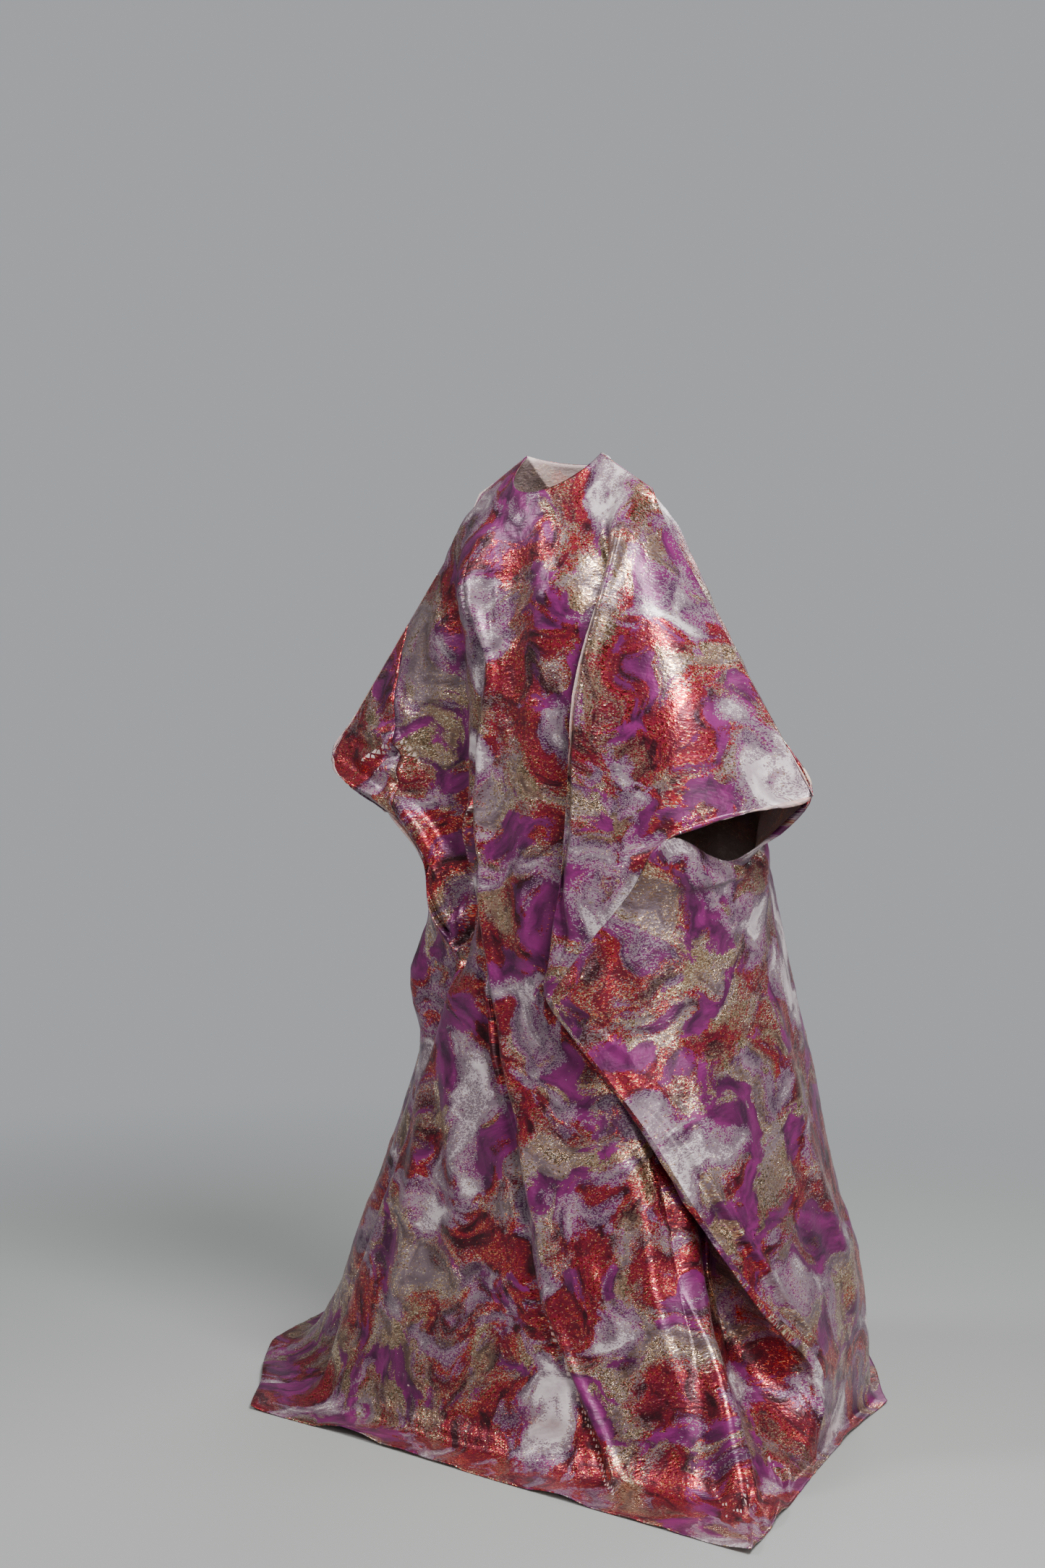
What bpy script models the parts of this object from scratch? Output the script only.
"""Floor-length kaftan in stiff brocade, as it hangs when it is worn.

Metres, +Z up. The front faces -Y and the wearer's left is +X. The origin is on the shoulder line at the
middle of the neck, where the wearer carries the garment. Each panel is a wall of cloth, lofted through level
sections of the worn garment, and the panels meet at the shoulder, over-arm and side seams with a small gap.
"""

import math
from collections import namedtuple

import bmesh
import bpy
import numpy as np
from mathutils import Matrix

# Driving sizes, in metres
WALL = 0.0015
SEAM_GAP = 0.0003
HOLD_HEIGHT = 1.500
NECK_HALF_WIDTH = 0.078
NECK_SIDE_HEIGHT = 1.512
NECK_FRONT_DROP = 0.060
NECK_FRONT_REACH = 0.078
NECK_BACK_DROP = 0.014
NECK_BACK_REACH = 0.066
SHOULDER_HALF = 0.180
SHOULDER_HEIGHT = 1.456
MITRE_LIMIT = 3.0
FOLD_LIMIT = 2.5

# The joining seam of the right sleeve's end: a line on the front, (left, height), that leans in as it goes
# down, carried past both edges of the sleeve
SLEEVE_SEAM_TOP = (-0.298, 1.220)
SLEEVE_SEAM_FOOT = (-0.258, 0.970)
SLEEVE_SEAM_RUN = 0.460
SLEEVE_SEAM_REACH = 0.400

# The brocade's mean colour on each piece, and its dull metal sheen
FRONT_COLOUR = (0.30, 0.10, 0.17)
BACK_COLOUR = (0.28, 0.11, 0.20)
SLEEVE_END_COLOUR = (0.33, 0.11, 0.16)
BROCADE_ROUGHNESS = 0.45
BROCADE_METALLIC = 0.3

MM = 0.001

# Where the two panels meet, in mm to the wearer's left, forward, and up from the floor. The wrist openings
# lie between "cuff top" and "cuff foot", and there the panels part.
Edge = namedtuple("Edge", "left forward height")
Level = namedtuple("Level", "name height right_edge left_edge")
LEVELS = (
    Level("chest", 1400, Edge(-209, 10, 1400), Edge(204, -10, 1400)),
    Level("bust", 1300, Edge(-273, 29, 1300), Edge(259, -29, 1300)),
    Level("underbust", 1200, Edge(-337, 49, 1200), Edge(313, -48, 1200)),
    Level("elbow", 1100, Edge(-401, 68, 1100), Edge(368, -67, 1100)),
    Level("cuff top", 1010, Edge(-440, 79, 1040), Edge(420, -85, 1004)),
    Level("cuff mid", 955, Edge(-352, 132, 1000), Edge(374, 18, 982)),
    Level("cuff foot", 905, Edge(-322, 66, 950), Edge(320, 123, 948)),
    Level("hip", 860, Edge(-222, 88, 880), Edge(252, 132, 862)),
    Level("wing", 790, Edge(-204, 90, 800), Edge(182, 143, 785)),
    Level("wing foot", 748, Edge(-184, 76, 757), Edge(147, 149, 742)),
    Level("wing tip", 706, Edge(-162, 60, 715), Edge(124, 157, 702)),
    Level("pleat", 650, Edge(-172, 52, 650), Edge(156, 143, 650)),
    Level("thigh", 590, Edge(-188, 48, 590), Edge(204, 125, 590)),
    Level("knee", 500, Edge(-212, 42, 500), Edge(262, 88, 500)),
    Level("calf", 375, Edge(-258, 34, 375), Edge(310, 27, 375)),
    Level("shin", 250, Edge(-308, 22, 250), Edge(348, -62, 250)),
    Level("ankle", 120, Edge(-372, 30, 100), Edge(368, -186, 120)),
    Level("floor", 8, Edge(-470, 100, 8), Edge(381, -156, 8)),
    Level("hem", 2, Edge(-520, 172, 2), Edge(438, -74, 2)),
)
# The back panel's own edge at the middle of each wrist opening
BACK_CUFF_MID = {"right": Edge(-372, 28, 968), "left": Edge(304, -46, 906)}

# Sections of the front panel: where its folds stand at each level, as (left, forward) in mm
Front = namedtuple("Front", "wing_r hollow_r crease_r middle bust_l pleat_l fold_l wing_l")
FRONT = {
    "chest": Front((-190, 38), (-145, 64), (-85, 92), (0, 96), (85, 92), (150, 68), (180, 82), (200, 35)),
    "bust": Front((-215, 62), (-155, 84), (-90, 130), (0, 114), (88, 132), (172, 84), (170, 113),
                  (240, 62)),
    "underbust": Front((-245, 78), (-135, 92), (-50, 129), (12, 124), (80, 131), (185, 90), (150, 130),
                       (280, 76)),
    "elbow": Front((-280, 92), (-135, 84), (-62, 129), (5, 130), (75, 131), (190, 88), (141, 143),
                   (312, 86)),
    "cuff top": Front((-300, 102), (-138, 76), (-72, 128), (5, 131), (72, 131), (192, 88), (139, 145),
                      (300, 104)),
    "cuff mid": Front((-262, 112, 972), (-140, 70), (-72, 128), (4, 131), (70, 131), (190, 90),
                      (137, 147), (272, 120)),
    "cuff foot": Front((-232, 102, 932), (-138, 64), (-67, 128), (4, 131), (68, 131), (188, 91),
                       (133, 149), (232, 138)),
    "hip": Front((-186, 86, 876), (-128, 64), (-66, 128), (4, 131), (67, 131), (182, 92), (128, 151),
                 (192, 145)),
    "wing": Front((-158, 62), (-106, 92), (-52, 129), (9, 132), (68, 132), (175, 92), (118, 150),
                  (148, 149)),
    "wing foot": Front((-146, 86), (-97, 108), (-43, 130), (14, 132), (74, 132), (180, 87), (110, 150),
                       (126, 154)),
    "wing tip": Front((-134, 108), (-88, 124), (-35, 131), (18, 133), (80, 132), (184, 82), (103, 149),
                      (112, 156)),
    "pleat": Front((-156, 110), (-92, 127), (-22, 132), (38, 133), (110, 124), (202, 54), (141, 135),
                   (147, 143)),
    "thigh": Front((-184, 107), (-100, 128), (-12, 133), (68, 132), (160, 104), (226, 14), (189, 117),
                   (195, 126)),
    "knee": Front((-228, 103), (-120, 128), (20, 135), (125, 126), (206, 70), (248, -58), (247, 80),
                  (253, 90)),
    "calf": Front((-278, 102), (-150, 130), (65, 137), (165, 122), (254, 46), (245, -56), (294, 22),
                  (301, 31)),
    "shin": Front((-338, 102), (-190, 135), (98, 141), (205, 124), (306, 56), (236, -76), (333, -60),
                  (342, -54)),
    "ankle": Front((-388, 112), (-232, 147), (165, 152), (280, 126), (392, 76), (272, -92), (350, -164),
                   (364, -168)),
    "floor": Front((-405, 166), (-240, 186), (180, 186), (330, 162), (465, 112), (428, 0), (400, -108),
                   (391, -132)),
    "hem": Front((-428, 272), (-220, 268), (180, 272), (390, 270), (602, 270), (505, 65), (452, -46),
                 (445, -60)),
}

# Sections of the back panel, from the left seam round the back to the right seam
Back = namedtuple("Back", "fold_l flank_l side_l back_l middle back_r side_r fold_r")
BACK = {
    "chest": Back((195, -38), (176, -64), (148, -86), (85, -106), (0, -106), (-85, -106), (-150, -86),
                  (-192, -34)),
    "bust": Back((243, -58), (214, -84), (178, -106), (98, -130), (0, -122), (-98, -130), (-186, -100),
                 (-246, -28)),
    "underbust": Back((288, -80), (250, -106), (204, -128), (108, -150), (0, -138), (-112, -148),
                      (-212, -108), (-296, -18)),
    "elbow": Back((336, -100), (286, -124), (230, -150), (118, -178), (0, -165), (-124, -174),
                  (-242, -112), (-346, -4)),
    "cuff top": Back((368, -112), (308, -138), (244, -170), (128, -206), (0, -195), (-130, -200),
                     (-264, -118), (-376, 8)),
    "cuff mid": Back((300, -90, 905), (278, -138, 930), (240, -190), (130, -232), (0, -220), (-136, -222),
                     (-272, -126), (-340, -6)),
    "cuff foot": Back((322, 50, 880), (308, -64, 885), (262, -190), (160, -250), (0, -245), (-142, -240),
                      (-276, -134), (-296, 18)),
    "hip": Back((290, 98), (310, 0), (286, -150), (196, -256), (0, -268), (-150, -256), (-280, -142),
                (-262, 36)),
    "wing": Back((236, 128), (302, 36), (294, -116), (212, -272), (0, -300), (-176, -282), (-292, -150),
                 (-262, 40)),
    "wing foot": Back((198, 141), (290, 43), (298, -110), (214, -285), (0, -321), (-187, -300),
                      (-312, -143), (-279, 46)),
    "wing tip": Back((164, 150), (276, 50), (302, -105), (216, -298), (0, -342), (-198, -318),
                     (-332, -136), (-296, 52)),
    "pleat": Back((196, 116), (272, 42), (302, -120), (216, -316), (0, -365), (-215, -338), (-358, -130),
                  (-290, 50)),
    "thigh": Back((238, 94), (288, 20), (302, -140), (216, -336), (0, -388), (-234, -358), (-384, -126),
                  (-268, 46)),
    "knee": Back((292, 44), (308, -34), (304, -176), (216, -362), (0, -425), (-262, -390), (-430, -130),
                 (-304, 28)),
    "calf": Back((326, -18), (330, -90), (308, -226), (222, -396), (0, -465), (-292, -430), (-498, -150),
                 (-376, 16)),
    "shin": Back((352, -102), (348, -170), (310, -292), (236, -440), (0, -512), (-330, -470),
                 (-560, -170), (-450, 8)),
    "ankle": Back((358, -208), (336, -256), (300, -345), (248, -452), (0, -560), (-372, -520),
                  (-642, -190), (-540, -20)),
    "floor": Back((366, -190), (342, -244), (302, -342), (264, -452), (0, -640), (-430, -620),
                  (-790, -300), (-670, -40)),
    "hem": Back((412, -132), (382, -200), (328, -330), (282, -462), (0, -720), (-480, -700), (-850, -330),
                (-716, -30)),
}

# How finely each stretch between two folds, and each stretch between two levels, is divided
FRONT_STEPS = (4, 3, 3, 4, 4, 4, 3, 3, 2)
BACK_STEPS = (2, 3, 3, 4, 4, 4, 3, 3, 4)
LEVEL_STEPS = (3, 3, 2, 2, 2, 2, 2, 2, 2, 1, 1, 2, 2, 2, 3, 3, 3, 3, 2)
# The stretches of each panel that carry the neckline
FRONT_NECK = (3, 5)
BACK_NECK = (4, 6)


def point(edge):
    """A table entry as a point in the part's frame."""
    return np.array([edge[0] * MM, -edge[1] * MM, edge[2] * MM])


def through(points, steps):
    """Points of a smooth curve through the given ones: a centripetal Catmull-Rom spline."""
    pts = np.asarray(points, float)
    pts = np.vstack([2 * pts[0] - pts[1], pts, 2 * pts[-1] - pts[-2]])
    gaps = np.maximum(np.linalg.norm(np.diff(pts, axis=0), axis=1), 1e-6) ** 0.5
    knots = np.concatenate([[0.0], np.cumsum(gaps)])
    curve = []
    for i, count in enumerate(steps):
        p0, p1, p2, p3 = pts[i:i + 4]
        t0, t1, t2, t3 = knots[i:i + 4]
        for k in range(count):
            t = t1 + (t2 - t1) * k / count
            a1 = ((t1 - t) * p0 + (t - t0) * p1) / (t1 - t0)
            a2 = ((t2 - t) * p1 + (t - t1) * p2) / (t2 - t1)
            a3 = ((t3 - t) * p2 + (t - t2) * p3) / (t3 - t2)
            b1 = ((t2 - t) * a1 + (t - t0) * a2) / (t2 - t0)
            b2 = ((t3 - t) * a2 + (t - t1) * a3) / (t3 - t1)
            curve.append(((t2 - t) * b1 + (t - t1) * b2) / (t2 - t1))
    return np.array(curve + [pts[-2]])


def neckline(turn, reach, drop):
    """A point of the neck's edge: turn is 0 at the wearer's right side of the neck and 1 at the left."""
    angle = math.pi * turn
    return np.array([-NECK_HALF_WIDTH * math.cos(angle), -reach * math.sin(angle),
                     NECK_SIDE_HEIGHT - drop * math.sin(angle)])


def shoulder_edge(steps, neck_spans, reach, drop, side):
    """A panel's top edge: shoulder seam, neckline and shoulder seam, from side -1 (right) or 1 (left)."""
    first, last = neck_spans
    before, neck, after = sum(steps[:first]), sum(steps[first:last]), sum(steps[last:])
    neck_side = np.array([NECK_HALF_WIDTH, 0.0, NECK_SIDE_HEIGHT])
    shoulder = np.array([SHOULDER_HALF, 0.0, SHOULDER_HEIGHT])
    mirror = np.array([side, 1.0, 1.0])
    edge = [(shoulder + (neck_side - shoulder) * k / before) * mirror for k in range(before)]
    edge += [neckline(k / neck, reach, drop) * mirror * [-1, 1, 1] for k in range(neck)]
    edge += [(neck_side + (shoulder - neck_side) * k / after) * mirror * [-1, 1, 1] for k in range(after + 1)]
    return np.array(edge)


def row_of(name):
    """The grid row on which a named level lies; "top" is row 0."""
    names = ["top"] + [level.name for level in LEVELS]
    return sum(LEVEL_STEPS[:names.index(name)])


def fold_point(fold, height):
    """A fold of the tables as a point: an entry may state its own height in place of its level's."""
    left, forward, *own = fold
    return point((left, forward, own[0] if own else height))


def edge_column(points):
    """A panel's side edge, with a corner at each end of the wrist opening, where the seams stop."""
    names = ["top"] + [level.name for level in LEVELS]
    corners = [0, names.index("cuff top"), names.index("cuff foot"), len(names) - 1]
    parts = [through(points[a:b + 1], LEVEL_STEPS[a:b])[:-1] for a, b in zip(corners, corners[1:])]
    return np.vstack([*parts, points[-1:]])


def sections(table, steps, neck_spans, reach, drop, is_front):
    """One panel's outer face as a grid: rows down the garment, columns across it."""
    rows = [shoulder_edge(steps, neck_spans, reach, drop, -1 if is_front else 1)]
    for level in LEVELS:
        right, left = point(level.right_edge), point(level.left_edge)
        if level.name == "cuff mid" and not is_front:
            right, left = point(BACK_CUFF_MID["right"]), point(BACK_CUFF_MID["left"])
        start, end = (right, left) if is_front else (left, right)
        folds = [fold_point(fold, level.height) for fold in table[level.name]]
        rows.append(through([start, *folds, end], steps))
    stack = np.array(rows)
    columns = [through(stack[:, j], LEVEL_STEPS) for j in range(1, stack.shape[1] - 1)]
    columns = [edge_column(stack[:, 0]), *columns, edge_column(stack[:, -1])]
    grid = np.array(columns).transpose(1, 0, 2)
    grid[..., 2] = np.maximum(grid[..., 2], WALL)
    return grid


def unit(vectors):
    """The vectors at length one."""
    return vectors / np.maximum(np.linalg.norm(vectors, axis=-1, keepdims=True), 1e-12)


def cell_normals(grid):
    """The outward normals of a grid's cells, by the cross product of their diagonals."""
    return unit(np.cross(grid[1:, :-1] - grid[:-1, 1:], grid[1:, 1:] - grid[:-1, :-1]))


def depth_vectors(grid):
    """From each grid point to the wall's inner side, longer at a fold so the wall keeps its thickness."""
    cells = cell_normals(grid)
    rows, columns = cells.shape[:2]
    sums = np.zeros_like(grid)
    blocks = [(slice(di, di + rows), slice(dj, dj + columns)) for di in (0, 1) for dj in (0, 1)]
    for block in blocks:
        sums[block] += cells
    mean = unit(sums)
    lean = np.ones(grid.shape[:2])
    for block in blocks:
        lean[block] = np.minimum(lean[block], (mean[block] * cells).sum(axis=2))
    return -mean * (WALL / np.maximum(lean, 1.0 / FOLD_LIMIT))[..., None]


def seam_mask(front):
    """Which points of a panel's grid lie on a seam with the other panel, whose columns run the other way."""
    rows = np.arange(front.shape[0])
    open_cuff = (rows > row_of("cuff top")) & (rows < row_of("cuff foot"))
    mask = np.zeros(front.shape[:2], bool)
    mask[:, 0] = mask[:, -1] = ~open_cuff
    first, last = (sum(FRONT_STEPS[:span]) for span in FRONT_NECK)
    mask[0, :first + 1] = mask[0, last:] = True
    return mask


def mitred(front, back):
    """The depth vectors of both panels, made one at their seams, where each wall ends on the same mitre."""
    in_front, in_back = depth_vectors(front), depth_vectors(back)[:, ::-1]
    mask = seam_mask(front)
    n_front, n_back = unit(in_front[mask]), unit(in_back[mask])
    share = 1.0 + (n_front * n_back).sum(axis=1, keepdims=True)
    joint = (n_front + n_back) * WALL / np.maximum(share, 2.0 / MITRE_LIMIT ** 2)
    in_front[mask] = in_back[mask] = joint
    return in_front, in_back[:, ::-1]


def wall(name, outer, depths, colour):
    """A closed solid between a grid and its inner side, cut back at its rim by half of the seam gap."""
    outer, inner = outer.copy(), outer + depths
    inner[..., 2] = np.maximum(inner[..., 2], 0.0)
    for at, inward in ((0, 1), (-1, -2)):
        for axis in (0, 1):
            line = (at, slice(None)) if axis == 0 else (slice(None), at)
            next_line = (inward, slice(None)) if axis == 0 else (slice(None), inward)
            step = outer[next_line] - outer[line]
            step *= 0.5 * SEAM_GAP / np.maximum(np.linalg.norm(step, axis=1, keepdims=True), 1e-9)
            outer[line] += step
            inner[line] += step
    rows, columns = outer.shape[:2]
    mesh = bpy.data.meshes.new(name)
    bm = bmesh.new()
    out = [[bm.verts.new(outer[i, j]) for j in range(columns)] for i in range(rows)]
    inn = [[bm.verts.new(inner[i, j]) for j in range(columns)] for i in range(rows)]
    for i in range(rows - 1):
        for j in range(columns - 1):
            bm.faces.new((out[i][j], out[i + 1][j], out[i + 1][j + 1], out[i][j + 1]))
            bm.faces.new((inn[i][j], inn[i][j + 1], inn[i + 1][j + 1], inn[i + 1][j]))
    rim = [(i, 0) for i in range(rows)] + [(rows - 1, j) for j in range(1, columns)]
    rim += [(i, columns - 1) for i in range(rows - 2, -1, -1)] + [(0, j) for j in range(columns - 2, 0, -1)]
    for (i, j), (k, m) in zip(rim, rim[1:] + rim[:1]):
        bm.faces.new((out[i][j], inn[i][j], inn[k][m], out[k][m]))
    bmesh.ops.recalc_face_normals(bm, faces=bm.faces)
    bmesh.ops.triangulate(bm, faces=bm.faces)
    bm.to_mesh(mesh)
    bm.free()
    mesh.transform(Matrix.Translation((0.0, 0.0, -HOLD_HEIGHT)))
    mesh.shade_smooth()
    mesh.materials.append(cloth(name, colour))
    return bpy.data.objects.new(name, mesh)


def cloth(name, colour):
    """The brocade of one piece."""
    material = bpy.data.materials.new(name + "_brocade")
    material.use_nodes = True
    shader = material.node_tree.nodes["Principled BSDF"]
    shader.inputs["Base Color"].default_value = (*colour, 1.0)
    shader.inputs["Roughness"].default_value = BROCADE_ROUGHNESS
    shader.inputs["Metallic"].default_value = BROCADE_METALLIC
    return material


def clear_scene():
    """Starts from an empty scene."""
    for obj in list(bpy.data.objects):
        bpy.data.objects.remove(obj, do_unlink=True)


def sleeve_seam_cutter():
    """A slab as thick as the seam's gap, standing along the joining seam of the right sleeve's end."""
    top, foot = np.array(SLEEVE_SEAM_TOP), np.array(SLEEVE_SEAM_FOOT)
    middle = (top + foot) / 2
    bpy.ops.mesh.primitive_cube_add(size=1.0, location=(middle[0], 0.0, middle[1] - HOLD_HEIGHT))
    slab = bpy.context.object
    slab.name = "sleeve_seam_cutter"
    slab.scale = (SEAM_GAP, SLEEVE_SEAM_REACH, SLEEVE_SEAM_RUN)
    slab.rotation_euler.y = math.atan2(top[0] - foot[0], top[1] - foot[1])
    slab.hide_render = True
    slab.display_type = "WIRE"
    return slab


def part_sleeve_end(front, cutter):
    """Parts the end of the right sleeve from the front panel along its joining seam, as its own piece."""
    cut = front.modifiers.new("sleeve_seam", "BOOLEAN")
    cut.operation, cut.solver, cut.object = "DIFFERENCE", "EXACT", cutter
    bpy.ops.object.select_all(action="DESELECT")
    front.select_set(True)
    bpy.context.view_layer.objects.active = front
    bpy.ops.object.modifier_apply(modifier=cut.name)
    bpy.ops.mesh.separate(type="LOOSE")
    halves = sorted(bpy.context.selected_objects, key=lambda half: len(half.data.vertices))
    halves[-1].name = "front_panel"
    halves[0].name = "right_sleeve_end"
    halves[0].data.materials.clear()
    halves[0].data.materials.append(cloth(halves[0].name, SLEEVE_END_COLOUR))


def main():
    clear_scene()
    pieces, cutters = (bpy.data.collections.new(name) for name in ("kaftan", "cutters"))
    for collection in (pieces, cutters):
        bpy.context.scene.collection.children.link(collection)
    front = sections(FRONT, FRONT_STEPS, FRONT_NECK, NECK_FRONT_REACH, NECK_FRONT_DROP, True)
    back = sections(BACK, BACK_STEPS, BACK_NECK, -NECK_BACK_REACH, NECK_BACK_DROP, False)
    in_front, in_back = mitred(front, back)
    front_panel = wall("front_panel", front, in_front, FRONT_COLOUR)
    pieces.objects.link(front_panel)
    pieces.objects.link(wall("back_panel", back, in_back, BACK_COLOUR))
    cutter = sleeve_seam_cutter()
    for holder in cutter.users_collection:
        holder.objects.unlink(cutter)
    cutters.objects.link(cutter)
    part_sleeve_end(front_panel, cutter)


if __name__ == "__main__":
    main()
